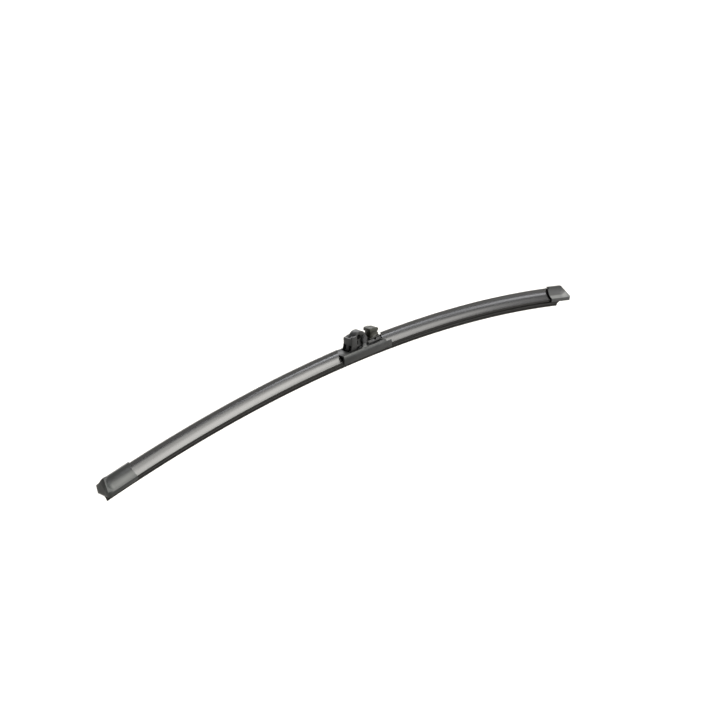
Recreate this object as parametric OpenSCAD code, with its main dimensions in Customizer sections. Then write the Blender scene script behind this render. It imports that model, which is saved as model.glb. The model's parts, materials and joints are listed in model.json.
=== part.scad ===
// Flat windscreen wiper blade.
// The origin is the middle of the adapter's cross bore, which the wiper arm's side pin fills.
// +X runs along the blade, -Y is the front (airflow) side, +Z points from the glass to the arm.
// Lengths along the blade are measured on its arc from the crown, and heights in a section
// are measured from the spoiler's lower edge.

/* [Blade] */
// Radius of the relaxed blade's arc, at the spoiler's lower edge
arc_radius = 1500; // [1200:10:2400]
// Rubber length left of the crown
rubber_left = 300.8; // [200:0.1:400]
// Rubber length right of the crown
rubber_right = 290.3; // [200:0.1:400]
// How far each strip stops short of the rubber's end
rail_inset = 4.5; // [2:0.1:10]
// How far each spoiler stops short of the rubber's end
spoiler_inset = 3.6; // [2:0.1:10]

/* [Spring strips] */
// Width of one strip
rail_w = 4.4; // [3.5:0.1:4.6]
// Thickness of a strip
rail_t = 0.9; // [0.7:0.05:1]
// Height of the strips' underside above the spoiler's lower edge
rail_z = 1.2; // [1.1:0.1:1.5]
// Gap between the two strips
rail_gap = 2; // [1.4:0.1:4]

/* [Rubber] */
// Play between the rubber and each strip
rubber_play = 0.05; // [0.02:0.01:0.2]
// Width of the rubber's head, above the strips
head_w = 3.8; // [3:0.1:6]
// Height of the rubber's head
head_h = 1; // [0.6:0.1:2]
// Width of the rubber's base, below the strips
foot_w = 7.2; // [5:0.1:8]
// Height of the rubber's base
foot_h = 2.2; // [1.8:0.1:2.8]
// Thickness of the tilting web
web_t = 1.2; // [0.8:0.1:2]
// Height of the tilting web
web_h = 1.2; // [0.8:0.1:2]
// Width across the lip's shoulders
shoulder_w = 5.2; // [3:0.1:7]
// Thickness of the wiping edge
lip_t = 0.7; // [0.3:0.05:1.2]
// Depth of the wiping edge below the spoiler's lower edge
lip_depth = 7.4; // [6:0.1:10]

/* [Spoiler] */
// Distance from the lip's plane to the spoiler's front edge
spoiler_front = 7.2; // [6.7:0.1:9]
// Distance from the lip's plane to the spoiler's rear edge
spoiler_rear = 7; // [6.7:0.1:9]
// Height of the vertical front and rear edges
edge_h = 2.1; // [1.8:0.1:2.6]
// Height of the fin's top
fin_h = 12.2; // [10:0.1:15]
// Place of the fin's top across the blade
fin_y = -0.8; // [-2:0.1:3]
// Thickness of the fin's top
fin_t = 1; // [0.6:0.1:2]
// Radius of the hollow front face
front_hollow = 12.5; // [11:0.5:20]
// Radius of the hollow rear face
rear_hollow = 14; // [12:0.5:30]
// Play between the spoiler's channel and the strips
channel_play = 0.05; // [0.02:0.01:0.2]
// Width of the slot between the spoiler's claws
claw_gap = 8.6; // [8:0.1:9.6]
// End of the left spoiler beside the connector, left of the crown
left_spoiler_end = 33.3; // [33.3:0.1:60]
// End of the right spoiler beside the connector, right of the crown
right_spoiler_end = 23.2; // [23.2:0.1:60]

/* [End caps] */
// Wall of the left cap
left_cap_wall = 0.9; // [0.8:0.1:1.6]
// Wall of the right cap
right_cap_wall = 1.2; // [1:0.1:1.6]
// Play between a cap and the spoiler inside it
cap_play = 0.15; // [0.1:0.01:0.3]
// Length of the left cap's cover over the spoiler
left_cap_cover = 28; // [15:0.5:50]
// Length of the right cap's cover over the spoiler
right_cap_cover = 22; // [15:0.5:50]
// How far the left cap runs past the rubber
left_cap_nose = 2.6; // [2.6:0.1:15]
// How far the right cap runs past the rubber
right_cap_nose = 12; // [2:0.1:15]
// Thickness of a cap's end wall
cap_end_wall = 1.4; // [1:0.1:2]
// Depth of a cap's floor below the spoiler's lower edge
cap_floor = 0.6; // [0.5:0.1:1.5]
// Gap round the spoiler at the right cap's mouth
mouth_gap = 0.7; // [0.2:0.1:0.8]
// Depth of that gap
mouth_deep = 3; // [1:0.5:6]
// Lean of the left cap's end face, from foot to ridge
left_cap_lean = 3; // [0:0.5:4]
// Lean of the right cap's end face, from foot to ridge
right_cap_lean = 10; // [0:0.5:12]
// Radius of a cap's corners seen from above
cap_corner = 3; // [1:0.1:5]

/* [Connector base] */
// Left end of the base, left of the crown
base_left = 32.5; // [29:0.1:45]
// Right end of the base's side walls, right of the crown
base_right = 29.5; // [26:0.1:45]
// Play between the base and the bracket inside it
base_play = 0.05; // [0.02:0.01:0.1]
// Gap between the base's side walls and the right spoiler
horn_play = 0.25; // [0.2:0.05:0.6]
// Thickness of the side walls beside the right spoiler
horn_wall = 1.05; // [0.8:0.05:1.6]
// Height of the base's top
base_top = 7.1; // [7:0.1:8]
// Depth of the side walls below the spoiler's lower edge
base_skirt = 0.9; // [0.9:0.1:3]
// Thickness of the base's top
base_plate = 1.1; // [0.8:0.1:1.2]
// Right end of the base's top, right of the crown
plate_right = 22.8; // [22:0.1:26]
// Height of the side walls beyond the right end of the top
horn_h = 5.5; // [4:0.1:6.5]

/* [Bracket] */
// Left end of the steel bracket, left of the crown
bracket_left = 31.5; // [28:0.1:40]
// Right end of the steel bracket, right of the crown
bracket_right = 21.5; // [20:0.1:30]
// Thickness of the bracket's sheet
bracket_t = 0.95; // [0.6:0.05:1]
// Play between the bracket and the strips
bracket_play = 0.05; // [0.02:0.01:0.1]
// Length of each crimped claw
claw_len = 7; // [4:0.1:10]

/* [Pivot] */
// Distance along X from the cross bore to the pivot
pivot_dx = 5.8; // [5.4:0.1:9]
// Distance down from the cross bore to the pivot
pivot_drop = 2.8; // [1.5:0.1:6]
// Distance along X from the pivot to the blade's crown
crown_dx = 3; // [0:0.1:6]
// Height of the pivot above the spoiler's lower edge
pivot_h = 14.3; // [14:0.1:17]
// Radius of the pivot pin
pin_r = 2; // [1.5:0.1:2.5]
// Radial play of the adapter on the pin
pin_play = 0.06; // [0.02:0.01:0.1]
// Thickness of each bearing ear
ear_t = 1.6; // [1.2:0.1:2.2]
// Radius of each bearing ear
ear_r = 3.4; // [3:0.1:4]
// Side gap between an ear and the adapter
ear_gap = 0.3; // [0.2:0.05:0.6]
// Thickness of the pin's riveted heads
rivet_t = 0.5; // [0.3:0.1:0.8]

/* [Adapter] */
// Radius of the cross bore for the arm's side pin
arm_bore_r = 2.43; // [1.6:0.01:2.6]
// Half width of the adapter's hub
hub_w2 = 3.7; // [3.4:0.1:5]
// Half width of the left block and of the deck's foot
block_w2 = 5.2; // [4.8:0.1:5.6]
// Distance from the cross bore to the left block's end face
block_reach = 10.2; // [9:0.1:11]
// Length of the left block
block_len = 6.4; // [5:0.1:8]
// Radius of the hub's rounded back
hump_r = 8.1; // [7:0.1:9]
// Distance from the pivot to the deck's rear end
deck_reach = 21.8; // [21.8:0.1:22.6]
// Radius of the latch stud's hole in the ledge
stud_hole_r = 1.65; // [1:0.05:1.8]

/* [Button] */
// Travel of the release button
button_travel = 1.1; // [0.5:0.1:1.4]
// Play between the button's stem and its pocket
stem_play = 0.3; // [0.3:0.05:0.5]
// Diameter of the button spring's wire
spring_wire = 0.4; // [0.3:0.05:0.6]
// Mean radius of the button spring
spring_r = 1.4; // [1:0.1:1.6]
// Turns of the button spring
spring_turns = 4; // [3:1:6]

/* [Hidden] */

// Colours
charcoal = "#4a4b4d";
soft_black = "#1d1d1c";
steel = "#b9bcc0";
connector_grey = "#3f4142";
olive_grey = "#45463f";

// The arcs are fine enough to look smooth; small rounds need fewer steps
arc_steps = 720;
round_steps = 64;
// A cut runs this far past the face that it opens
past = 1;

// Places of the pivot, the crown and the spoiler's lower edge, seen from the cross bore
pivot_x = pivot_dx;
pivot_z = -pivot_drop;
crown_x = pivot_x + crown_dx;
edge_z = pivot_z - pivot_h;

// Levels in the blade's section
rail_top = rail_z + rail_t;
rail_out = rail_gap / 2 + rail_w;
foot_top = rail_z - rubber_play;
foot_low = foot_top - foot_h;
web_low = foot_low - web_h;
head_low = rail_top + rubber_play;
head_top = head_low + head_h;

// Shape of the lip below its shoulders
shoulder_h = 0.9;
waist_w = 1.8;
waist_drop = 2.6;

// Hollow faces of the spoiler, from its edges up to the fin
fin_bevel = 0.3;
apex = [fin_y, fin_h - 0.3];
front_centre = arc_centre([-spoiler_front, edge_h], apex, front_hollow);
rear_centre = arc_centre(apex, [spoiler_rear, edge_h], rear_hollow);
// Height over the edges at which the hollow faces have surely left the outline's sides
side_rise = 1.5;
// Room round the rubber's head
head_room = 0.35;

// Bracket section
bracket_in = head_w / 2 + 0.3;
bracket_out = rail_out + bracket_play + bracket_t;
bracket_low = rail_top + bracket_play;
bracket_top = bracket_low + bracket_t;
claw_top = rail_z - bracket_play;
claw_low = claw_top - bracket_t;
bridge_in = head_top + 0.1;
bridge_top = bridge_in + bracket_t;
bridge_w2 = bracket_in + bracket_t;
claw_in = claw_gap / 2 + 0.1;
claw_count = 4;
claw_step = (bracket_left + bracket_right - claw_len) / (claw_count - 1);
// Stretches where the bracket bridges the rubber's head: the left end, the pivot, the right end
left_bridge = [-bracket_left, -bracket_left + 4.5];
mid_bridge = [-crown_dx - 6, -crown_dx + 6];
right_bridge = [bracket_right - 3, bracket_right];

// Length over which a cap's grooves fade out before its nose
cap_groove_back = 7.7;
// How far a nose's rear side rises over its front side
nose_rear_rise = 2.6;

// Connector base
horn_in = max(spoiler_front, spoiler_rear) + horn_play;
base_w2 = horn_in + horn_wall;
base_in = bracket_out + base_play;
base_wall = base_w2 - base_in;
base_lean = 0.5;
base_bevel = 0.6;
lean_from = 2.9;
hook_t = 1;
hook_reach = 0.9;
ear_neck_w2 = 2.3;
ear_in = hub_w2 + ear_gap;
ear_out = ear_in + ear_t;
window_play = 0.4;
window_end_play = 1.9;
window_w2 = block_w2 + window_play;

// Adapter: its belly, its ledge and its deck, seen from the cross bore.
// The block's left face leans out by block_foot at the bottom.
belly_drop = 6.6;
belly_z = pivot_z - belly_drop;
block_x0 = -block_reach;
block_x1 = block_x0 + block_len;
block_foot = 1.6;
block_low = belly_z - 0.9;
ledge_lo = 0.6;
ledge_hi = 1.9;
rim_top = 2.6;
rim_t = 1.3;
rim_chamfer = 0.9;
pocket_w = 2.7;
pocket_y = 2.9;
pocket_deep = 6;
pocket_top = -5.4;
hump_centre = [1.6, -3.1];
hub_x1 = pivot_x + 4.2;
core_w2 = 2.4;
core_x = [-2.8, 2];
core_top = -5;
slot_x = -1.4;
slot_w = 1.5;
slot_deep = 1.2;
slot_z = [-8, -2.9];
stud_hole_at = [-7.2, 0.9];
stud_hole_deep = 4.5;
deck_x0 = pivot_x + 5.6;
deck_x1 = pivot_x + deck_reach;
deck_top = belly_z + 2.6;
deck_lip = 0.6;
deck_top_w2 = 4.4;
deck_chamfer = [3, 0.9];

// Button: its trunk slides in the deck's collar
trunk_x0 = pivot_x + 9.6;
trunk_len = 10.8;
trunk_x1 = trunk_x0 + trunk_len;
trunk_w2 = 3.2;
collar_wall_x = 1;
collar_wall_y = 0.8;
collar_top = deck_top + 1.6;
well_floor = belly_z + 1.2;
trunk_low = well_floor + button_travel + 0.3;
trunk_top = 0.4;
// Depth, lower end and upper end of the finger notch at the trunk's right end
trunk_notch = [1.1, -3, -0.7];
button_head_top = 3.5;
button_head_len = 9.4;
button_head_drop = 1.3;
button_tail_top = 1.5;
button_head_w2 = 4.2;
lug_len = 1.8;
lug_h = 0.6;
lug_reach = 0.6;
lug_z = trunk_low;
button_x = (trunk_x0 + trunk_x1) / 2;
nest_r = spring_r + spring_wire / 2 + 0.3;
nest_top = trunk_low + 1.8;
groove_w = 0.6;
groove_deep = 0.4;

// Centre of the arc of radius r from p to q, on the left of the way from p to q
function arc_centre(p, q, r) =
    let (d = q - p, c = norm(d))
    (p + q) / 2 + [-d.y, d.x] / c * sqrt(r * r - c * c / 4);

// Angle that a length s takes on the blade's arc
function arc_angle(s) = s / arc_radius * 180 / PI;

// Sweeps a section along the blade's arc from s0 to s1.
// The section is drawn with x across the blade and y upwards.
module sweep_along(s0, s1) {
    translate([crown_x, 0, edge_z - arc_radius])
        rotate([90, 0, 0])
            rotate([0, 0, 90 - arc_angle(s1)])
                rotate_extrude(angle = arc_angle(s1 - s0), $fn = arc_steps)
                    translate([arc_radius, 0])
                        rotate(-90)
                            children();
}

// Places a straight shape on the arc at s, with its x along the blade
module at_arc(s) {
    a = arc_angle(s);
    translate([crown_x + arc_radius * sin(a), 0, edge_z + arc_radius * (cos(a) - 1)])
        rotate([0, a, 0])
            children();
}

// Extrudes a side view, drawn with x along the blade and y upwards, from y0 to y1
module slab(y0, y1) {
    translate([0, y1, 0])
        rotate([90, 0, 0])
            linear_extrude(y1 - y0)
                children();
}

// Extrudes a section, drawn with x across the blade and y upwards, from x0 to x1
module bar(x0, x1) {
    translate([x0, 0, 0])
        rotate([90, 0, 90])
            linear_extrude(x1 - x0)
                children();
}

// Rectangle from one corner to the other
module box2(low, high) {
    translate(low)
        square(high - low);
}

// Box from one corner to the other
module box3(low, high) {
    translate(low)
        cube(high - low);
}

// The child and its mirror image across the blade
module both_sides() {
    children();
    mirror([0, 1, 0])
        children();
}

// The 2D child and its mirror image in a section
module both_halves() {
    children();
    mirror([1, 0])
        children();
}

module rubber_section() {
    box2([-head_w / 2, head_low], [head_w / 2, head_top]);
    box2([rubber_play - rail_gap / 2, foot_low], [rail_gap / 2 - rubber_play, head_top]);
    box2([-foot_w / 2, foot_low], [foot_w / 2, foot_top]);
    box2([-web_t / 2, web_low - shoulder_h], [web_t / 2, foot_top]);
    polygon([
        [-shoulder_w / 2, web_low],
        [-shoulder_w / 2, web_low - shoulder_h],
        [-waist_w / 2, web_low - waist_drop],
        [-lip_t / 2, -lip_depth],
        [lip_t / 2, -lip_depth],
        [waist_w / 2, web_low - waist_drop],
        [shoulder_w / 2, web_low - shoulder_h],
        [shoulder_w / 2, web_low],
    ]);
}

module rail_section() {
    box2([rail_gap / 2, rail_z], [rail_out, rail_top]);
}

// Upright sides and a thin fin, drawn straight. grow moves the outline outwards, for the caps
// that go over it; floor_z is its underside.
module spoiler_house(grow = 0, floor_z = 0) {
    side_top = edge_h + side_rise;
    polygon([
        [-spoiler_front - grow, floor_z],
        [-spoiler_front - grow, side_top],
        apex + [0, grow],
        [spoiler_rear + grow, side_top],
        [spoiler_rear + grow, floor_z],
    ]);
}

module spoiler_fin(grow = 0) {
    fin_w2 = fin_t / 2 + grow;
    top = fin_h + grow;
    polygon([
        [fin_y - fin_w2, edge_h + grow],
        [fin_y - fin_w2, top - fin_bevel],
        [fin_y - fin_w2 + fin_bevel, top],
        [fin_y + fin_w2 - fin_bevel, top],
        [fin_y + fin_w2, top - fin_bevel],
        [fin_y + fin_w2, edge_h + grow],
    ]);
}

// Outer form of the spoiler: two hollow faces that rise from the edges to the fin
module spoiler_outline(grow = 0, floor_z = 0) {
    difference() {
        spoiler_house(grow, floor_z);
        translate(front_centre)
            circle(r = front_hollow - grow, $fn = arc_steps);
        translate(rear_centre)
            circle(r = rear_hollow - grow, $fn = arc_steps);
    }
    spoiler_fin(grow);
}

module spoiler_section() {
    difference() {
        spoiler_outline();
        box2([-rail_out - channel_play, rail_z - channel_play],
             [rail_out + channel_play, rail_top + channel_play]);
        box2([-head_w / 2 - head_room, rail_z], [head_w / 2 + head_room, head_top + head_room]);
        box2([-claw_gap / 2, -past], [claw_gap / 2, rail_z]);
    }
}

module wiper_rubber() {
    color(soft_black)
        sweep_along(-rubber_left, rubber_right)
            rubber_section();
}

module spring_rail_front() {
    color(steel)
        sweep_along(rail_inset - rubber_left, rubber_right - rail_inset)
            mirror([1, 0])
                rail_section();
}

module spring_rail_rear() {
    color(steel)
        sweep_along(rail_inset - rubber_left, rubber_right - rail_inset)
            rail_section();
}

module spoiler_left() {
    color(charcoal)
        sweep_along(spoiler_inset - rubber_left, -left_spoiler_end)
            spoiler_section();
}

module spoiler_right() {
    color(charcoal)
        sweep_along(right_spoiler_end, rubber_right - spoiler_inset)
            spoiler_section();
}

// Side view of a cap between its mouth and its leaning nose.
// wall draws the end face that much further in, for the inside.
module cap_side(mouth, nose, lean, wall = 0) {
    top = fin_h + 2 * past;
    floor_z = -cap_floor - past;
    polygon([
        [mouth, floor_z],
        [nose - wall, floor_z],
        [nose - wall, edge_h],
        [nose - lean - wall, fin_h],
        [nose - lean * (top - edge_h) / (fin_h - edge_h) - wall, top],
        [mouth, top],
    ]);
}

// Plan of a cap: straight sides, round corners at the nose
module cap_plan(mouth, nose, side) {
    w0 = -spoiler_front - side;
    w1 = spoiler_rear + side;
    r = cap_corner;
    box2([mouth, w0], [nose - r, w1]);
    box2([nose - r - past, w0 + r], [nose, w1 - r]);
    for (y = [w0 + r, w1 - r])
        translate([nose - r, y])
            circle(r = r, $fn = round_steps);
}

// Cap's full section at the nose: straight slopes from the sides to the ridge
module cap_bulkhead(wall) {
    top = fin_h + wall;
    side_top = edge_h + wall / 2;
    polygon([
        [-spoiler_front - wall, -cap_floor],
        [-spoiler_front - wall, side_top],
        [fin_y - fin_t / 2 - wall, top - fin_bevel],
        [fin_y - fin_t / 2 - wall + fin_bevel, top],
        [fin_y + fin_t / 2 + wall - fin_bevel, top],
        [fin_y + fin_t / 2 + wall, top - fin_bevel],
        [spoiler_rear + wall, side_top + nose_rear_rise],
        [spoiler_rear + wall, -cap_floor],
    ]);
}

// Groove along a cap's face that carries on the spoiler's hollow and ends in a round
module cap_groove(centre, r, mouth, end) {
    translate([mouth - past, centre.x, centre.y])
        rotate([0, 90, 0])
            cylinder(r = r, h = end - mouth + past, $fn = arc_steps);
    translate([end, centre.x, centre.y])
        sphere(r = r, $fn = arc_steps);
}

// A cap that points along +x. Its frame is the middle of its length, and the rubber
// ends at rubber_end.
module end_cap(mouth, rubber_end, nose, lean, wall) {
    groove_end = nose - 0.6 * lean - cap_groove_back;
    height = fin_h + cap_floor + wall + 3 * past;
    difference() {
        intersection() {
            bar(mouth, nose)
                cap_bulkhead(wall);
            slab(-spoiler_front - wall - past, spoiler_rear + wall + past)
                cap_side(mouth, nose, lean);
            translate([0, 0, -cap_floor - past])
                linear_extrude(height)
                    cap_plan(mouth, nose, wall);
        }
        cap_groove(front_centre, front_hollow - wall, mouth, groove_end);
        cap_groove(rear_centre, rear_hollow - wall, mouth, groove_end);
        // Room for the spoiler and the strips
        intersection() {
            bar(mouth - past, nose)
                spoiler_outline(cap_play, -cap_play);
            slab(-spoiler_front - past, spoiler_rear + past)
                cap_side(mouth - past, nose, lean, cap_end_wall);
            translate([0, 0, -cap_floor - past])
                linear_extrude(height)
                    cap_plan(mouth - past, nose - cap_end_wall, cap_play);
        }
        // Slot in the floor for the rubber
        box3([mouth - past, -claw_gap / 2, -cap_floor - past],
             [rubber_end + 0.4, claw_gap / 2, rail_z]);
    }
}

module end_cap_left() {
    half = (left_cap_cover + left_cap_nose) / 2;
    color(charcoal)
        at_arc(-rubber_left - left_cap_nose + half)
            mirror([1, 0, 0])
                end_cap(-half, half - left_cap_nose, half, left_cap_lean, left_cap_wall);
}

module end_cap_right() {
    half = (right_cap_cover + right_cap_nose) / 2;
    color(charcoal)
        at_arc(rubber_right + right_cap_nose - half)
            difference() {
                end_cap(-half, half - right_cap_nose, half, right_cap_lean, right_cap_wall);
                // Dark gap round the spoiler where it enters
                bar(-half - past, mouth_deep - half)
                    spoiler_outline(mouth_gap, -cap_play);
            }
}

// Two flat plates on the strips
module bracket_plate_section() {
    both_halves()
        box2([bracket_in, bracket_low], [bracket_out, bracket_top]);
}

// Claws folded round the strips' outer edges
module bracket_claw_section() {
    both_halves() {
        box2([bracket_out - bracket_t, claw_low], [bracket_out, bracket_top]);
        box2([claw_in, claw_low], [bracket_out, claw_top]);
    }
}

// Bridge over the rubber's head
module bracket_bridge_section() {
    difference() {
        box2([-bridge_w2, bracket_low], [bridge_w2, bridge_top]);
        box2([-bracket_in, bracket_low - past], [bracket_in, bridge_in]);
    }
}

module rail_bracket() {
    color(steel) {
        sweep_along(-bracket_left, bracket_right)
            bracket_plate_section();
        for (i = [0:claw_count - 1]) {
            s = i * claw_step - bracket_left;
            sweep_along(s, s + claw_len)
                bracket_claw_section();
        }
        for (span = [left_bridge, mid_bridge, right_bridge])
            sweep_along(span[0], span[1])
                bracket_bridge_section();
    }
}

// Outer form of the base: side walls that lean in towards a bevelled top
module base_outline() {
    polygon([
        [-base_w2, -base_skirt],
        [-base_w2, lean_from],
        [base_lean - base_w2, base_top - base_bevel],
        [base_lean + base_bevel - base_w2, base_top],
        [base_w2 - base_lean - base_bevel, base_top],
        [base_w2 - base_lean, base_top - base_bevel],
        [base_w2, lean_from],
        [base_w2, -base_skirt],
    ]);
}

module base_section() {
    difference() {
        base_outline();
        box2([-base_in, -base_skirt - past], [base_in, base_top - base_plate]);
    }
}

// Side walls alone, beside the right spoiler's end
module horn_section() {
    difference() {
        base_outline();
        box2([-horn_in, -base_skirt - past], [horn_in, base_top + past]);
        box2([-base_w2 - past, horn_h], [base_w2 + past, base_top + past]);
    }
}

// Hooks that hold the base under the bracket's claws
module hook_section() {
    both_halves()
        box2([base_in - hook_reach, claw_low - hook_t - base_play],
             [base_in + base_wall / 2, claw_low - base_play]);
}

// One bearing ear at the front or the rear, seen from the side
module ear_side() {
    difference() {
        union() {
            translate([pivot_x, pivot_z])
                circle(r = ear_r, $fn = round_steps);
            box2([pivot_x - ear_neck_w2, edge_z + base_top - base_plate],
                 [pivot_x + ear_neck_w2, pivot_z]);
        }
        translate([pivot_x, pivot_z])
            circle(r = pin_r + 0.02, $fn = round_steps);
    }
}

module connector_base() {
    color(connector_grey) {
        difference() {
            sweep_along(-base_left, plate_right)
                base_section();
            box3([block_x0 - block_foot - window_end_play, -window_w2, edge_z + foot_top],
                 [deck_x1 + window_end_play, window_w2, edge_z + base_top + past]);
        }
        sweep_along(plate_right - past, base_right)
            horn_section();
        for (i = [0:claw_count - 1]) {
            s = i * claw_step - bracket_left;
            sweep_along(s + 1, s + claw_len - 1)
                hook_section();
        }
        both_sides() {
            slab(ear_in, ear_out)
                ear_side();
            box3([pivot_x - ear_r, ear_in, edge_z + base_top - base_plate],
                 [pivot_x + ear_r, window_w2 + base_wall, edge_z + base_top - 0.05]);
        }
    }
}

module pivot_pin() {
    color(steel)
        translate([pivot_x, 0, pivot_z])
            rotate([90, 0, 0]) {
                cylinder(r = pin_r, h = 2 * ear_out, center = true, $fn = round_steps);
                for (side = [-1, 1])
                    translate([0, 0, side * (ear_out + rivet_t / 2)])
                        cylinder(r = pin_r + 0.7, h = rivet_t, center = true, $fn = round_steps);
            }
}

// Left block of the adapter: a ledge that rises towards the hub, over two pockets
module adapter_block() {
    difference() {
        slab(-block_w2, block_w2)
            polygon([
                [block_x0 - block_foot, block_low],
                [block_x1, block_low],
                [block_x1, ledge_hi],
                [block_x0, ledge_lo],
                [block_x0, pocket_top + 1],
            ]);
        for (side = [-1, 1])
            translate([block_x0 - block_foot - past, side * pocket_y - pocket_w / 2,
                       block_low - past])
                cube([pocket_deep + past, pocket_w, pocket_top - block_low + past]);
    }
    slab(-block_w2, rim_t - block_w2)
        polygon([
            [block_x0, ledge_lo - past],
            [block_x0, rim_top - rim_chamfer],
            [block_x0 + rim_chamfer, rim_top],
            [block_x1, rim_top],
            [block_x1, ledge_lo - past],
        ]);
}

// Hub of the adapter: a round back over the pivot and the cross bore
module adapter_hub() {
    slab(-hub_w2, hub_w2) {
        intersection() {
            translate(hump_centre)
                circle(r = hump_r, $fn = arc_steps);
            box2([block_x1 - past, belly_z], [hub_x1, hump_centre.y + hump_r + past]);
        }
        box2([block_x1 - past, belly_z], [hub_x1, hump_centre.y]);
        box2([hub_x1 - past, belly_z], [deck_x0 + past, deck_top]);
    }
}

// Deck of the adapter with the button's collar
module adapter_deck() {
    difference() {
        union() {
            bar(deck_x0, deck_x1)
                polygon([
                    [-block_w2, belly_z],
                    [block_w2, belly_z],
                    [block_w2, belly_z + deck_lip],
                    [deck_top_w2, deck_top],
                    [-deck_top_w2, deck_top],
                    [-block_w2, belly_z + deck_lip],
                ]);
            box3([trunk_x0 - stem_play - collar_wall_x, -trunk_w2 - stem_play - collar_wall_y,
                  deck_top - past],
                 [trunk_x1 + stem_play + collar_wall_x, trunk_w2 + stem_play + collar_wall_y,
                  collar_top]);
        }
        box3([trunk_x0 - stem_play, -trunk_w2 - stem_play, well_floor],
             [trunk_x1 + stem_play, trunk_w2 + stem_play, collar_top + past]);
        // Windows for the button's lugs
        box3([button_x - lug_len / 2 - 0.3, -block_w2 - past, lug_z - button_travel - 0.3],
             [button_x + lug_len / 2 + 0.3, block_w2 + past, lug_z + lug_h + 0.3]);
        // Sloped belly that clears the bracket when the blade rocks
        slab(-block_w2 - past, block_w2 + past)
            polygon([
                [deck_x1 - deck_chamfer.x, belly_z],
                [deck_x1 - deck_chamfer.x, belly_z - past],
                [deck_x1 + past, belly_z - past],
                [deck_x1 + past, belly_z + deck_chamfer.y * (1 + past / deck_chamfer.x)],
            ]);
    }
}

module adapter_body() {
    color(connector_grey)
        difference() {
            union() {
                adapter_block();
                adapter_hub();
                adapter_deck();
            }
            // Cross bore for the arm's side pin
            rotate([90, 0, 0])
                cylinder(r = arm_bore_r, h = 2 * (block_w2 + past), center = true,
                         $fn = round_steps);
            // Bearing of the pivot pin
            translate([pivot_x, 0, pivot_z])
                rotate([90, 0, 0])
                    cylinder(r = pin_r + pin_play, h = 2 * (block_w2 + past), center = true,
                             $fn = round_steps);
            // Blind hole in the ledge
            translate([stud_hole_at.x, stud_hole_at.y, ledge_hi - stud_hole_deep])
                cylinder(r = stud_hole_r, h = stud_hole_deep + past, $fn = round_steps);
            // Core under the hub
            box3([core_x[0], -core_w2, belly_z - past], [core_x[1], core_w2, core_top]);
            // Sinks in the hub's sides
            both_sides()
                box3([slot_x - slot_w / 2, hub_w2 - slot_deep, slot_z[0]],
                     [slot_x + slot_w / 2, hub_w2 + past, slot_z[1]]);
        }
}

module release_button() {
    color(olive_grey)
        difference() {
            union() {
                // Trunk with a notch below its tail, for the finger
                slab(-trunk_w2, trunk_w2)
                    polygon([
                        [trunk_x0, trunk_low],
                        [trunk_x1, trunk_low],
                        [trunk_x1, trunk_notch[1]],
                        [trunk_x1 - trunk_notch[0], trunk_notch[1] + 0.6],
                        [trunk_x1 - trunk_notch[0], trunk_notch[2] - 0.6],
                        [trunk_x1 + 0.1, trunk_notch[2]],
                        [trunk_x1 + 0.1, button_tail_top - 0.6],
                        [trunk_x1 - 0.5, button_tail_top],
                        [trunk_x0, button_tail_top],
                    ]);
                slab(-button_head_w2, button_head_w2)
                    polygon([
                        [trunk_x0 - 0.8, trunk_top],
                        [trunk_x0 - 0.8, button_head_top - 0.6],
                        [trunk_x0 + 0.4, button_head_top],
                        [trunk_x0 + 3.6, button_head_top],
                        [trunk_x0 + button_head_len, button_head_top - button_head_drop],
                        [trunk_x0 + button_head_len, trunk_top],
                    ]);
                box3([button_x - lug_len / 2, -trunk_w2 - lug_reach, lug_z],
                     [button_x + lug_len / 2, trunk_w2 + lug_reach, lug_z + lug_h]);
            }
            // Nest for the spring
            translate([button_x, 0, trunk_low - past])
                cylinder(r = nest_r, h = nest_top - trunk_low + past, $fn = round_steps);
            // Groove along the head
            box3([trunk_x0 - 0.8 - past, -groove_w / 2, button_head_top - groove_deep],
                 [trunk_x1 + past, groove_w / 2, button_head_top + past]);
        }
}

// Coil spring between the well's floor and the button's nest
module button_spring() {
    sides = 8;
    per_turn = 20;
    wire_r = spring_wire / 2;
    low = well_floor + wire_r + 0.02;
    high = nest_top - wire_r - 0.02;
    rings = spring_turns * per_turn;
    points = [
        for (i = [0:rings], j = [0:sides - 1])
            let (
                turn = 360 * i / per_turn,
                around = 360 * j / sides,
                r = spring_r + wire_r * cos(around)
            )
            [
                button_x + r * cos(turn),
                r * sin(turn),
                low + (high - low) * i / rings + wire_r * sin(around)
            ]
    ];
    walls = [
        for (i = [0:rings - 1], j = [0:sides - 1])
            let (k = (j + 1) % sides)
            [i * sides + j, i * sides + k, (i + 1) * sides + k, (i + 1) * sides + j]
    ];
    first_end = [for (j = [0:sides - 1]) sides - 1 - j];
    last_end = [for (j = [0:sides - 1]) rings * sides + j];
    color(steel)
        polyhedron(points, concat([first_end], walls, [last_end]));
}

wiper_rubber();
spring_rail_front();
spring_rail_rear();
spoiler_left();
spoiler_right();
end_cap_left();
end_cap_right();
rail_bracket();
connector_base();
pivot_pin();
adapter_body();
release_button();
button_spring();
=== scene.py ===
# %% [markdown]
# # A flat wiper blade
# This lesson dresses a curved, frameless wiper blade. The exact solids come from the packed
# frame and never move. What is long and follows the arc is swept anew with smooth, rounded
# sections, the moulded pieces get softened edges, and every piece gets its own finish.

# %% Load the fixed frame
import json
import math

import bmesh
import bpy
from mathutils import Matrix, Vector

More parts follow.
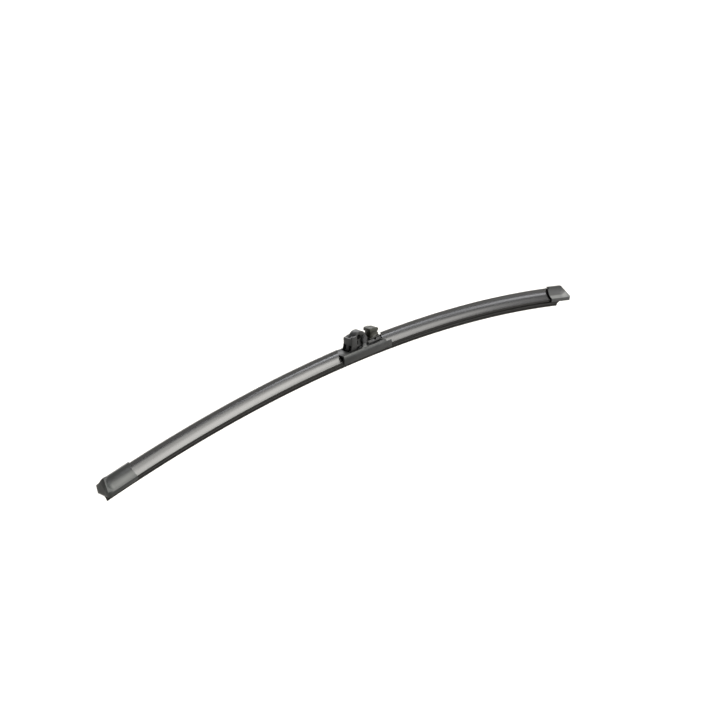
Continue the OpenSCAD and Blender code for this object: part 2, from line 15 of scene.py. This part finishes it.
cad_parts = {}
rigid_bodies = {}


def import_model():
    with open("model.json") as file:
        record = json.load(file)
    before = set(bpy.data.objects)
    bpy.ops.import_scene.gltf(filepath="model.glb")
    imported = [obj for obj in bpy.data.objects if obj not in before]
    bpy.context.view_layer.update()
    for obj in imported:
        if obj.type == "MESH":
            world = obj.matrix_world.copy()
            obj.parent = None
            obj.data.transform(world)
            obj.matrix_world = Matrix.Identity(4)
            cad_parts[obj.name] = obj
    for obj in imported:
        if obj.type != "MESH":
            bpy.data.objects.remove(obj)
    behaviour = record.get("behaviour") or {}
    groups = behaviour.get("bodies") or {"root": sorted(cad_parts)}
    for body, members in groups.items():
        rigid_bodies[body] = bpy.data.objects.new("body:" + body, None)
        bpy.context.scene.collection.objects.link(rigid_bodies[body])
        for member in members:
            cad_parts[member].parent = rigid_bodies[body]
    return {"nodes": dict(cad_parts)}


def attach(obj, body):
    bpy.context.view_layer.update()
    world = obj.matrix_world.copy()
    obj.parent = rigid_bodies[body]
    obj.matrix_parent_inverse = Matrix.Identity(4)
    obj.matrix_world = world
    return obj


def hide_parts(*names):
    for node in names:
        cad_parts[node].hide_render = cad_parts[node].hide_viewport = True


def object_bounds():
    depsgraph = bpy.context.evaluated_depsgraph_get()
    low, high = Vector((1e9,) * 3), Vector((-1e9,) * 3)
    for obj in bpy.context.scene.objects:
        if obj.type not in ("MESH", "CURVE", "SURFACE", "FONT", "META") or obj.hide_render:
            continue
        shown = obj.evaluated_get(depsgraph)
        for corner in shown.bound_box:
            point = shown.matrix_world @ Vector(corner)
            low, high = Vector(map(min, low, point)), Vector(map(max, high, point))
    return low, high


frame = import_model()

cad_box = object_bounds()
MM = 0.001
print("frame:", len(frame["nodes"]), "nodes, box", [round(v / MM, 1) for c in cad_box for v in c])

# %% [markdown]
# ## The camera
# The blade was seen from above its front left, with a long lens. The camera's place comes
# from a fit to the blade's edges: it looks at a target near the adapter, from a distance of
# about 1.6 m, and rolls by one degree.

# %% Set the camera
AZIMUTH, ELEVATION, ROLL = math.radians(-47.2), math.radians(21.3), math.radians(-1.03)
DISTANCE = 1.596
TARGET = Vector((5.1, 0, -23.98)) * MM

back = Vector((math.sin(AZIMUTH) * math.cos(ELEVATION),
               -math.cos(AZIMUTH) * math.cos(ELEVATION), math.sin(ELEVATION)))
level = Vector((math.cos(AZIMUTH), math.sin(AZIMUTH), 0))
upright = back.cross(level)
right = level * math.cos(ROLL) + upright * math.sin(ROLL)
up = upright * math.cos(ROLL) - level * math.sin(ROLL)

camera = bpy.data.objects.new("camera", bpy.data.cameras.new("camera"))
bpy.context.collection.objects.link(camera)
camera.data.lens, camera.data.sensor_width = 90, 36
camera.data.clip_start, camera.data.clip_end = 0.05, 60
turn = Matrix((right, up, back)).transposed()
camera.matrix_world = Matrix.Translation(TARGET + back * DISTANCE) @ turn.to_4x4()
bpy.context.scene.camera = camera
bpy.context.scene.view_settings.view_transform = "Standard"
bpy.context.scene.view_settings.look = "None"
print("camera at", [round(v, 3) for v in camera.location])

# %% [markdown]
# ## Shader maths as Python
# A finish is easier to read as an expression than as a web of links. `Value` wraps one
# socket, and its operators add Math nodes. `Finish` makes a material and has one method for
# every other node: its type, its settings, and what goes into its sockets.

# %% Wrap sockets and nodes
class Value:
    """A socket that Python's operators work on."""

    def __init__(self, tree, socket):
        self.tree, self.socket = tree, socket

    def math(self, operation, *others, flip=False):
        node = self.tree.nodes.new("ShaderNodeMath")
        node.operation = operation
        terms = [self, *others]
        for slot, term in zip(node.inputs, reversed(terms) if flip else terms):
            feed(self.tree, slot, term)
        return Value(self.tree, node.outputs[0])

    def __add__(self, other): return self.math("ADD", other)
    def __sub__(self, other): return self.math("SUBTRACT", other)
    def __mul__(self, other): return self.math("MULTIPLY", other)
    def __truediv__(self, other): return self.math("DIVIDE", other)
    def __rsub__(self, other): return self.math("SUBTRACT", other, flip=True)
    __radd__, __rmul__ = __add__, __mul__

    def clamp(self):
        return self.math("MAXIMUM", 0.0).math("MINIMUM", 1.0)

    def sine(self):
        return self.math("SINE")


def feed(tree, slot, term):
    """Sets a socket to a number or a colour, or links it."""
    if isinstance(term, Value):
        tree.links.new(term.socket, slot)
    elif hasattr(term, "is_output"):
        tree.links.new(term, slot)
    else:
        slot.default_value = term


class Finish:
    """A material, or the world, built in code."""

    def __init__(self, name, holder=None):
        self.material = holder or bpy.data.materials.new(name)
        self.material.use_nodes = True
        self.tree = self.material.node_tree
        self.tree.nodes.clear()

    def node(self, kind, settings=(), **sockets):
        made = self.tree.nodes.new(kind)
        for key, value in dict(settings).items():
            setattr(made, key, value)
        for key, value in sockets.items():
            feed(self.tree, made.inputs[key.replace("_", " ")], value)
        return made

    def value(self, made, output=0):
        return Value(self.tree, made.outputs[output])

    def place(self):
        return self.node("ShaderNodeTexCoord").outputs["Object"]

    def noise(self, scale, detail=2.0, stretch=(1, 1, 1)):
        where = self.node("ShaderNodeMapping", Vector=self.place(), Scale=stretch)
        made = self.node("ShaderNodeTexNoise", Vector=where.outputs[0], Scale=scale, Detail=detail)
        return self.value(made, "Fac" if "Fac" in made.outputs else 0)

    def attribute(self, name):
        return self.value(self.node("ShaderNodeAttribute", {"attribute_name": name}), "Fac")

    def mix(self, factor, a, b):
        made = self.node("ShaderNodeMix", {"data_type": "RGBA"})
        feed(self.tree, made.inputs[0], factor)
        for slot, colour in zip(made.inputs[6:8], (a, b)):
            feed(self.tree, slot, (*colour, 1) if isinstance(colour, tuple) else colour)
        return made.outputs[2]

    def surface(self, colour, roughness, height=None, depth=0.02 * MM, **fixed):
        shader = self.node("ShaderNodeBsdfPrincipled")
        feed(self.tree, shader.inputs["Base Color"], colour)
        feed(self.tree, shader.inputs["Roughness"], roughness)
        for key, value in fixed.items():
            feed(self.tree, shader.inputs[key.replace("_", " ")], value)
        if height is not None:
            bump = self.node("ShaderNodeBump", Height=height, Strength=1.0, Distance=depth)
            feed(self.tree, shader.inputs["Normal"], bump.outputs[0])
        out = self.node("ShaderNodeOutputMaterial")
        self.tree.links.new(shader.outputs[0], out.inputs[0])
        return self.material

# %% [markdown]
# ## Studio light and floor
# The picture is a plain studio shot on white. The world stands for the studio: an even grey
# room with soft bright boxes in it. Each box is a direction, a width, and a brightness, so
# that the light is the same everywhere on the pale floor.

# %% Light the studio
ROOM, ROOM_TINT = 0.62, (0.985, 0.99, 1.02)
SOFTBOXES = [
    # direction, half width in degrees, soft edge in degrees, brightness, tint
    ((0.58, -0.29, 0.76), 17, 6, 6.0, (1.02, 1.0, 0.96)),
    ((0.10, -0.61, 0.79), 35, 4, 6.6, (1.015, 1.0, 0.95)),
    ((0.67, -0.72, 0.19), 1, 5, 18, (0.98, 1.0, 1.05)),
    ((0.84, -0.50, 0.22), 1, 6, 9, (1.0, 1.0, 1.03)),
    ((0.50, 0.62, 0.60), 12, 9, 5.0, (1.0, 1.0, 1.0)),
]

world = bpy.data.worlds.new("studio")
bpy.context.scene.world = world
studio = Finish("studio", world)
sky = studio.node("ShaderNodeTexCoord").outputs["Generated"]
channels = [ROOM * tint for tint in ROOM_TINT]
for direction, width, edge, bright, tints in SOFTBOXES:
    aim = Vector(direction).normalized()
    dot = studio.node("ShaderNodeVectorMath", {"operation": "DOT_PRODUCT"})
    feed(studio.tree, dot.inputs[0], sky)
    feed(studio.tree, dot.inputs[1], aim)
    outer, inner = math.cos(math.radians(width + edge)), math.cos(math.radians(width))
    ramp = studio.node("ShaderNodeMapRange", {"interpolation_type": "SMOOTHSTEP"},
                       Value=dot.outputs["Value"], From_Min=outer, From_Max=inner,
                       To_Min=0.0, To_Max=bright)
    light = studio.value(ramp)
    channels = [light * tint + total for tint, total in zip(tints, channels)]
colour = studio.node("ShaderNodeCombineColor", Red=channels[0], Green=channels[1],
                     Blue=channels[2])
shine = studio.node("ShaderNodeBackground", Color=colour.outputs[0], Strength=1.0)
end = studio.node("ShaderNodeOutputWorld")
studio.tree.links.new(shine.outputs[0], end.inputs[0])
print("studio:", len(SOFTBOXES), "soft boxes in a room of", ROOM)

# %% Lay the floor
FLOOR_DROP, half = 0.35, 24.0
floor_mesh = bpy.data.meshes.new("floor")
floor_mesh.from_pydata([(-half, -half, 0), (half, -half, 0), (half, half, 0), (-half, half, 0)],
                       [], [(0, 1, 2, 3)])
floor_mesh.transform(Matrix.Translation((0, 0, cad_box[0].z - FLOOR_DROP)))
floor = bpy.data.objects.new("floor", floor_mesh)
bpy.context.collection.objects.link(floor)
paper = Finish("floor_paper")
floor_mesh.materials.append(paper.surface((0.365, 0.36, 0.352, 1), 0.9))
print("floor at z", round(floor_mesh.vertices[0].co.z / MM, 1), "mm")

# %% [markdown]
# ## Finishes
# The rubber lip is dull and black. The spoiler is an extrusion: satin, charcoal, with very
# faint draw lines that run along it. The caps and the connector are moulded in a fine
# sparked texture, a little greyer. The strips are rolled steel, and the bracket and the pin
# are darker steel. The values were set against a picture, under this studio's light.
# The caps and the base carry painted highlight bands, and the cut ends and the right cap's mouth
# carry a near-black painted shade.

# %% Rubber and spoiler
def extruded(name, colour, shade, roughness, lines, depth, **fixed):
    """A finish whose fine lines run along the sweep, by the attributes that it stores."""
    f = Finish(name)
    around, along = f.attribute("around"), f.attribute("along")
    draw = (around * lines + f.noise(18, 1.0) * 2.0).sine() * 0.5 + 0.5
    cloud = f.noise(60, 3.0)
    band = (along * 37.0).sine() * 0.5 + 0.5
    tone = (cloud * 0.6 + draw * 0.3 + band * 0.1).clamp()
    rough = tone * 0.08 + (roughness - 0.04)
    return f.surface(f.mix(tone, colour, shade), rough, draw * 0.5 + cloud * 0.5, depth, **fixed)


rubber_finish = extruded("lip_rubber", (0.003, 0.0028, 0.0025), (0.006, 0.0056, 0.005), 0.55,
                         140, 0.012 * MM, Specular_IOR_Level=0.09)
spoiler_finish = extruded("spoiler_satin", (0.002, 0.002, 0.0021), (0.005, 0.005, 0.0052), 0.25,
                          260, 0.004 * MM)
edge_finish = extruded("spoiler_soft_edge", (0.003, 0.0028, 0.0025), (0.006, 0.0056, 0.005), 0.5,
                       60, 0.008 * MM, Specular_IOR_Level=0.14)
# Painted shade: a near-black, matte finish put on the spoilers' cut ends and in the right cap's
# mouth, where the shade falls.
painted_shade_finish = extruded("cut_end_painted_shade", (0.0006, 0.0006, 0.0006), (0.0016, 0.0016, 0.0016), 0.9,
                      30, 0.02 * MM, Specular_IOR_Level=0.02)

# %% Moulded plastic
def moulded(name, colour, shade, roughness, grain=0.05, band=None, **fixed):
    """Spark-eroded mould texture: fine, even grain with a little cloudiness. A band is a
    painted highlight, a paler stretch where the light catches: its low and high edge,
    its least and most |y|, and its colour."""
    f = Finish(name)
    fine, cloud = f.noise(2600, 2.0), f.noise(110, 3.0)
    tone = (fine * 0.4 + cloud * 0.6).clamp()
    rough = fine * 0.12 + (roughness - 0.06)
    look = f.mix(tone, colour, shade)
    # Painted highlight: the band's paler colour is mixed over the texture where the light catches.
    if band:
        low, high, near, far, pale = band
        spot = f.node("ShaderNodeSeparateXYZ", Vector=f.place())
        y, z = f.value(spot, 1).math("ABSOLUTE"), f.value(spot, 2)
        inside = ((z - low * MM) / (0.5 * MM)).clamp() * ((high * MM - z) / (0.3 * MM)).clamp()
        inside = inside * ((y - near * MM) / (0.8 * MM)).clamp()
        inside = inside * y.math("LESS_THAN", far * MM) * (cloud * 0.4 + 0.6)
        look = f.mix(inside, look, pale)
    return f.surface(look, rough, fine, grain * MM * 0.3, **fixed)


# The caps' and the base's bands are painted highlights. Both caps are one plastic, and each has
# its own band brightness, roughness and specular level.
cap_dull_finish = moulded("cap_plastic_dull", (0.005, 0.0056, 0.0055), (0.010, 0.0108, 0.0105),
                          0.36, band=(-80, 0, 3.0, 7.4, (0.020, 0.022, 0.021)),
                          Specular_IOR_Level=0.26)
cap_finish = moulded("cap_plastic", (0.005, 0.0055, 0.0055), (0.010, 0.0105, 0.0105), 0.50,
                     band=(-80, 0, 4.8, 8.3, (0.060, 0.062, 0.061)), Specular_IOR_Level=0.38)
base_finish = moulded("base_plastic", (0.003, 0.0033, 0.0033), (0.008, 0.0085, 0.0085), 0.42,
                      band=(-12.3, -10.0, 7.0, 99, (0.016, 0.017, 0.016)), Specular_IOR_Level=0.29)
adapter_finish = moulded("adapter_plastic", (0.002, 0.0021, 0.0021), (0.006, 0.0061, 0.006), 0.42,
                         Specular_IOR_Level=0.36)
button_finish = moulded("button_plastic", (0.006, 0.006, 0.0035), (0.011, 0.011, 0.007), 0.46,
                        Specular_IOR_Level=0.36)

# %% Steel
def rolled_steel(name, colour, shade, roughness, stretch):
    f = Finish(name)
    grain = f.noise(900, 2.0, stretch)
    blotch = f.noise(240, 2.0)
    tone = (grain * 0.6 + blotch * 0.4).clamp()
    return f.surface(f.mix(tone, colour, shade), grain * 0.16 + (roughness - 0.08), grain,
                     0.004 * MM, Metallic=1.0)


strip_finish = rolled_steel("strip_steel", (0.50, 0.51, 0.53), (0.62, 0.63, 0.64), 0.34,
                            (0.05, 1, 1))
bracket_finish = rolled_steel("bracket_steel", (0.022, 0.023, 0.024), (0.035, 0.036, 0.037), 0.45,
                              (0.2, 1, 1))
pin_finish = rolled_steel("pin_black", (0.045, 0.045, 0.047), (0.065, 0.065, 0.068), 0.38,
                          (1, 1, 1))
wire_finish = rolled_steel("spring_wire", (0.50, 0.50, 0.50), (0.66, 0.66, 0.66), 0.24,
                           (1, 1, 0.3))

# %% [markdown]
# ## Sections
# A section is a closed outline, drawn with x across the blade and y upwards, in
# millimetres. Real extrusions have no knife edges, so each corner is rounded with its own
# small radius before the outline is swept.

# %% Draw and round an outline
def rounded(points, radii, steps=4):
    """The outline with each corner replaced by an arc of its radius."""
    out = []
    count = len(points)
    for i, (corner, radius) in enumerate(zip(points, radii)):
        p, a, b = (Vector(points[i]), Vector(points[i - 1]), Vector(points[(i + 1) % count]))
        to_a, to_b = (a - p), (b - p)
        half_angle = to_a.angle(to_b) / 2
        if radius <= 0 or half_angle > math.radians(87):
            out.append(tuple(p))
            continue
        reach = min(radius / math.tan(half_angle), to_a.length * 0.49, to_b.length * 0.49)
        radius = reach * math.tan(half_angle)
        middle = (to_a.normalized() + to_b.normalized()).normalized()
        centre = p + middle * (radius / math.sin(half_angle))
        start, stop = p + to_a.normalized() * reach, p + to_b.normalized() * reach
        sweep = (start - centre).angle_signed(stop - centre)
        for k in range(steps + 1):
            turn = Matrix.Rotation(-sweep * k / steps, 2)
            out.append(tuple(centre + turn @ (start - centre)))
    return out


def arc(start, stop, radius, steps):
    """Points of the hollow arc from start to stop, with its centre on the left of the way."""
    p, q = Vector(start), Vector(stop)
    d = q - p
    centre = (p + q) / 2 + Vector((-d.y, d.x)) / d.length * math.sqrt(radius**2 - d.length**2 / 4)
    sweep = (p - centre).angle_signed(q - centre)
    return [tuple(centre + Matrix.Rotation(-sweep * k / steps, 2) @ (p - centre))
            for k in range(steps + 1)]


FRONT_EDGE, REAR_EDGE, APEX = (-7.2, 2.1), (7, 2.1), (-0.8, 11.9)
FIN_FRONT, FIN_REAR, FIN_TOP = -1.3, -0.3, 12.2
front_hollow = [p for p in arc(FRONT_EDGE, APEX, 12.5, 40) if p[0] < FIN_FRONT - 0.03]
rear_hollow = [p for p in arc(APEX, REAR_EDGE, 14, 44) if p[0] > FIN_REAR + 0.03]
outline = [(-7.2, 0)] + front_hollow + [
    (FIN_FRONT, FIN_TOP), (FIN_REAR, FIN_TOP),
] + rear_hollow + [
    (7, 0), (4.3, 0), (4.3, 1.15), (5.45, 1.15), (5.45, 2.15), (2.25, 2.15), (2.25, 3.5),
    (-2.25, 3.5), (-2.25, 2.15), (-5.45, 2.15), (-5.45, 1.15), (-4.3, 1.15), (-4.3, 0),
]
radii = ([0.25, 0.3] + [0] * (len(front_hollow) - 1) + [0.35, 0.35]
         + [0] * (len(rear_hollow) - 1) + [0.3, 0.25, 0.15] + [0.05] * 3 + [0.2, 0.2]
         + [0.05] * 3 + [0.15])
spoiler_section = rounded(outline, radii)
rubber_half = [(0.95, 1.15), (3.6, 1.15), (3.6, -1.05), (0.6, -1.05), (0.6, -2.25),
               (2.6, -2.25), (2.6, -3.15), (0.9, -4.85), (0.35, -7.4)]
rubber_outline = ([(1.9, 3.15), (1.9, 2.15), (0.95, 2.15)] + rubber_half
                  + [(-x, y) for x, y in reversed(rubber_half)]
                  + [(-0.95, 2.15), (-1.9, 2.15), (-1.9, 3.15)])
rubber_radii = [0.3, 0.2, 0.1, 0.1, 0.35, 0.35, 0.25, 0.25, 0.2, 0.25, 1.2, 0.05]
rubber_section = rounded(rubber_outline, rubber_radii + rubber_radii[::-1])
print("sections:", len(spoiler_section), "and", len(rubber_section), "points")

# %% [markdown]
# ## Sweep a section along the arc
# The blade's curve is one arc of 1.5 m radius. Geometry Nodes sweep each section straight
# along X first and then bend it: a point at length s and height z goes to the angle
# s / radius, at the radius plus z. Two attributes remember where each point was along and
# around the section, and the finishes read them.

# %% Build node trees in code
class Tree:
    """A Geometry Nodes tree with named inputs."""

    def __init__(self, name, **inputs):
        self.tree = bpy.data.node_groups.new(name, "GeometryNodeTree")
        self.ids = {}
        for key, (kind, value) in inputs.items():
            socket = self.tree.interface.new_socket(key, in_out="INPUT", socket_type=kind)
            if value is not None:
                socket.default_value = value
            self.ids[key] = socket.identifier
        self.tree.interface.new_socket("Geometry", in_out="OUTPUT",
                                       socket_type="NodeSocketGeometry")
        self.source = self.tree.nodes.new("NodeGroupInput")

    def get(self, name):
        return Value(self.tree, self.source.outputs[name])

    def node(self, kind, settings=(), **sockets):
        made = self.tree.nodes.new(kind)
        for key, value in dict(settings).items():
            setattr(made, key, value)
        for key, value in sockets.items():
            feed(self.tree, made.inputs[key.replace("_", " ")], value)
        return made

    def value(self, made, output=0):
        return Value(self.tree, made.outputs[output])

    def end(self, geometry):
        done = self.tree.nodes.new("NodeGroupOutput")
        feed(self.tree, done.inputs[0], geometry)


def grow(tree, name, body, node, slot, start=None, **inputs):
    """Runs a tree on an object and keeps the result as a plain mesh that rides on a body."""
    seed = bpy.data.objects.new(name + "_seed", start or bpy.data.meshes.new(name + "_seed"))
    bpy.context.collection.objects.link(seed)
    modifier = seed.modifiers.new("grow", "NODES")
    modifier.node_group = tree.tree
    for key, value in inputs.items():
        modifier[tree.ids[key]] = value
    view = bpy.context.evaluated_depsgraph_get()
    mesh = bpy.data.meshes.new_from_object(seed.evaluated_get(view))
    bpy.data.objects.remove(seed)
    mesh.name = name
    piece = bpy.data.objects.new(name, mesh)
    bpy.context.collection.objects.link(piece)
    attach(piece, body)
    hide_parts(node)
    print(f"{name}: {len(mesh.polygons)} faces")
    return piece

# %% The sweeping tree
ARC_RADIUS, CROWN_X, EDGE_Z = 1.5, 8.8 * MM, -17.1 * MM

sweep = Tree("sweep_on_arc",
             Section=("NodeSocketObject", None), Start=("NodeSocketFloat", 0.0),
             End=("NodeSocketFloat", 0.1), Step=("NodeSocketFloat", 4 * MM),
             Radius=("NodeSocketFloat", ARC_RADIUS), Crown=("NodeSocketFloat", CROWN_X),
             Level=("NodeSocketFloat", EDGE_Z), Edge_Side=("NodeSocketFloat", 1.0),
             Edge_Top=("NodeSocketFloat", 0.0), Finish=("NodeSocketMaterial", None),
             Edge_Finish=("NodeSocketMaterial", None), Cut_Finish=("NodeSocketMaterial", None))
ends = [sweep.node("ShaderNodeCombineXYZ", X=sweep.get(key)) for key in ("Start", "End")]
line = sweep.node("GeometryNodeCurvePrimitiveLine", Start=ends[0].outputs[0],
                  End=ends[1].outputs[0])
steps = sweep.node("GeometryNodeResampleCurve", {"mode": "LENGTH"}, Curve=line.outputs[0],
                   Length=sweep.get("Step"))
upward = sweep.node("GeometryNodeSetCurveNormal", {"mode": "Z_UP"}, Curve=steps.outputs[0])
place = sweep.node("GeometryNodeInputPosition")
split = sweep.node("ShaderNodeSeparateXYZ", Vector=place.outputs[0])
path = sweep.node("GeometryNodeStoreNamedAttribute", {"data_type": "FLOAT"},
                  Geometry=upward.outputs[0], Name="along", Value=split.outputs[0])
section = sweep.node("GeometryNodeObjectInfo", Object=sweep.get("Section"))
loop = sweep.node("GeometryNodeMeshToCurve", Mesh=section.outputs["Geometry"])
where = sweep.node("GeometryNodeSplineParameter")
loop_marked = sweep.node("GeometryNodeStoreNamedAttribute", {"data_type": "FLOAT"},
                         Geometry=loop.outputs[0], Name="around",
                         Value=where.outputs["Factor"])
swept = sweep.node("GeometryNodeCurveToMesh", Curve=path.outputs[0],
                   Profile_Curve=loop_marked.outputs[0], Fill_Caps=True)
point = sweep.node("ShaderNodeSeparateXYZ",
                   Vector=sweep.node("GeometryNodeInputPosition").outputs[0])
s, y, z = (sweep.value(point, i) for i in range(3))
facing = sweep.node("ShaderNodeSeparateXYZ",
                    Vector=sweep.node("GeometryNodeInputNormal").outputs[0])
is_edge = (y.math("ABSOLUTE").math("GREATER_THAN", sweep.get("Edge_Side"))
           * z.math("LESS_THAN", sweep.get("Edge_Top")))
is_cut = sweep.value(facing, 0).math("ABSOLUTE").math("GREATER_THAN", 0.9)
sorted_faces = sweep.node("GeometryNodeStoreNamedAttribute",
                          {"data_type": "FLOAT", "domain": "FACE"}, Geometry=swept.outputs[0],
                          Name="kind", Value=is_cut * 2 + is_edge)
angle, reach = s / sweep.get("Radius"), z + sweep.get("Radius")
bent = sweep.node("ShaderNodeCombineXYZ", X=angle.sine() * reach + sweep.get("Crown"), Y=y,
                  Z=angle.math("COSINE") * reach - sweep.get("Radius") + sweep.get("Level"))
shaped = sweep.node("GeometryNodeSetPosition", Geometry=sorted_faces.outputs[0],
                    Position=bent.outputs[0])
outward = sweep.node("GeometryNodeFlipFaces", Mesh=shaped.outputs[0])
smooth = sweep.node("GeometryNodeSetShadeSmooth", {"domain": "FACE"},
                    Geometry=outward.outputs[0], Shade_Smooth=True)
edge_angle = sweep.value(sweep.node("GeometryNodeInputMeshEdgeAngle"), "Unsigned Angle")
hard = sweep.node("GeometryNodeSetShadeSmooth", {"domain": "EDGE"},
                  Geometry=smooth.outputs[0], Shade_Smooth=False,
                  Selection=edge_angle.math("GREATER_THAN", math.radians(38)))
real = sweep.node("GeometryNodeRealizeInstances", Geometry=hard.outputs[0])
# Faces of the cut ends take the near-black painted shade finish; the rest take the surface and
# edge finishes.
kind = sweep.node("GeometryNodeInputNamedAttribute", {"data_type": "FLOAT"}, Name="kind")
dressed = real
for key, least in (("Finish", -1), ("Edge_Finish", 0.5), ("Cut_Finish", 1.5)):
    chosen = sweep.value(kind).math("GREATER_THAN", least)
    dressed = sweep.node("GeometryNodeSetMaterial", Geometry=dressed.outputs[0],
                         Selection=chosen, Material=sweep.get(key))
sweep.end(dressed.outputs[0])
print("sweeping tree:", len(sweep.tree.nodes), "nodes")

# %% Sweep the spoilers and the rubber
def section_object(name, points):
    """The outline as a loop of edges. Curve to Mesh turns it half round along X."""
    mesh = bpy.data.meshes.new(name)
    count = len(points)
    mesh.from_pydata([(-x * MM, -y * MM, 0) for x, y in points],
                     [(i, (i + 1) % count) for i in range(count)], [])
    made = bpy.data.objects.new(name, mesh)
    bpy.context.collection.objects.link(made)
    return made


def sweep_piece(name, points, start, stop, slot, finishes, edge_side=1000, body="blade"):
    """Sweeps one section between two lengths of arc, from the crown, in millimetres."""
    outline_object = section_object(name + "_section", points)
    piece = grow(sweep, name, body, name.replace("_swept", ""), slot, Section=outline_object,
                 Start=start * MM, End=stop * MM, Finish=finishes[0], Edge_Finish=finishes[1],
                 Cut_Finish=finishes[2], Edge_Side=edge_side * MM, Edge_Top=2.05 * MM)
    bpy.data.objects.remove(outline_object)
    work = bmesh.new()
    work.from_mesh(piece.data)
    print(name, "volume", round(work.calc_volume(signed=True) / MM**3), "mm3, open edges",
          sum(not e.is_manifold for e in work.edges))
    work.free()
    return piece


spoiler_set = (spoiler_finish, edge_finish, painted_shade_finish)
sweep_piece("spoiler_left_swept", spoiler_section, -297.2, -33.3, "spoiler", spoiler_set, 6.8)
sweep_piece("spoiler_right_swept", spoiler_section, 23.2, 286.7, "spoiler", spoiler_set, 6.8)
sweep_piece("wiper_rubber_swept", rubber_section, -300.8, 290.3, "wiper_rubber",
            (rubber_finish,) * 3)

# %% [markdown]
# ## Softened edges on the moulded pieces
# Every mould leaves its edges slightly round, and that thin rounding is what catches the
# light. Each solid is copied, its loose triangles are merged into clean faces, and a small
# Bevel goes over every outer edge that turns sharply. Inner corners stay as they are. Faces
# that end up folded flat on each other are taken out, so that every mesh stays closed.

# %% Copy a solid and round its edges
WELD, SLIVER, FLAT_ANGLE = 0.003 * MM, 0.0005 * MM, math.radians(0.15)


def edged(node, body, finish, width, steps=2, angle=50, dark=None, seam=None):
    name = node + "_edged"
    mesh = frame["nodes"][node].data.copy()
    work = bmesh.new()
    work.from_mesh(mesh)
    bmesh.ops.remove_doubles(work, verts=work.verts, dist=WELD)
    bmesh.ops.dissolve_limit(work, angle_limit=FLAT_ANGLE, verts=work.verts,
                             edges=work.edges, use_dissolve_boundaries=False)
    bmesh.ops.recalc_face_normals(work, faces=work.faces)
    if seam:
        whole = [*work.verts, *work.edges, *work.faces]
        bmesh.ops.bisect_plane(work, geom=whole, dist=0.001 * MM, plane_co=seam[0] * MM,
                               plane_no=seam[1])
    weight = work.edges.layers.float.new("bevel_weight_edge")
    for edge in work.edges:
        if edge.is_manifold and edge.calc_face_angle_signed() > math.radians(angle):
            edge[weight] = 1.0
    work.to_mesh(mesh)
    work.free()
    mesh.materials.clear()
    mesh.materials.append(finish)
    piece = bpy.data.objects.new(name, mesh)
    bpy.context.collection.objects.link(piece)
    soft = piece.modifiers.new("soft_edges", "BEVEL")
    soft.width, soft.segments, soft.limit_method = width * MM, steps, "WEIGHT"
    soft.use_clamp_overlap, soft.miter_outer = False, "MITER_ARC"
    view = bpy.context.evaluated_depsgraph_get()
    done = bpy.data.meshes.new_from_object(piece.evaluated_get(view))
    bpy.data.objects.remove(piece)
    done.name = name
    work = bmesh.new()
    work.from_mesh(done)
    bmesh.ops.remove_doubles(work, verts=work.verts, dist=SLIVER)
    bmesh.ops.dissolve_degenerate(work, edges=work.edges, dist=SLIVER)
    bmesh.ops.triangulate(work, faces=work.faces)
    corners = {}
    for face in work.faces:
        corners.setdefault(frozenset(face.verts), []).append(face)
    folds = [face for pair in corners.values() if len(pair) > 1 for face in pair]
    bmesh.ops.delete(work, geom=folds, context="FACES")
    work.to_mesh(done)
    print(name, "folds taken out:", len(folds), "open edges:",
          sum(not e.is_manifold for e in work.edges))
    work.free()
    done.shade_smooth()
    done.set_sharp_from_angle(angle=math.radians(40))
    if dark:
        done.materials.append(painted_shade_finish)
        for face in done.polygons:
            face.material_index = int(dark(face.center / MM, face.normal))
    kept = bpy.data.objects.new(name, done)
    bpy.context.collection.objects.link(kept)
    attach(kept, body)
    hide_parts(node)
    print(f"{name}: {len(done.polygons)} faces")
    return kept


CAP_MIDDLE, CAP_HALF, MOUTH_DEEP, SHADE_RING_WIDE = 285.3, 17, 3.1, 1.3
lean = CAP_MIDDLE / 1500
cap_axis = Vector((math.cos(lean), 0, -math.sin(lean)))
cap_centre = Vector((8.8 + 1500 * math.sin(lean), 0, -17.1 + 1500 * (math.cos(lean) - 1)))


def in_mouth(centre, normal):
    """Faces of the right cap's first stretch and of the gap inside it, which take the near-black
    painted shade standing for the dark line at the mouth.
    """
    away = centre - cap_centre
    along = away.dot(cap_axis)
    across = away - cap_axis * along - Vector((0, 0, 4))
    inside = along < MOUTH_DEEP - CAP_HALF and normal.dot(across) < 0
    return along < SHADE_RING_WIDE - CAP_HALF or inside


# The right cap's first stretch and the gap in its mouth are painted near-black: painted shade for
# the dark line at the mouth.
edged("end_cap_left", "blade", cap_dull_finish, 0.12)
edged("end_cap_right", "blade", cap_finish, 0.08, dark=in_mouth,
      seam=(cap_centre + cap_axis * (SHADE_RING_WIDE - CAP_HALF), cap_axis))
edged("connector_base", "blade", base_finish, 0.09)
edged("rail_bracket", "blade", bracket_finish, 0.05)
edged("adapter_body", "adapter", adapter_finish, 0.12)
edged("release_button", "button", button_finish, 0.18)

# %% [markdown]
# ## Strips, pin and spring
# These pieces are right as they are, so they keep their solids and only take a finish.

# %% Dress the plain solids
for node, finish in (("spring_rail_front", strip_finish), ("spring_rail_rear", strip_finish),
                     ("pivot_pin", pin_finish), ("button_spring", wire_finish)):
    mesh = frame["nodes"][node].data
    mesh.materials.clear()
    mesh.materials.append(finish)
    print(node, "takes", finish.name)
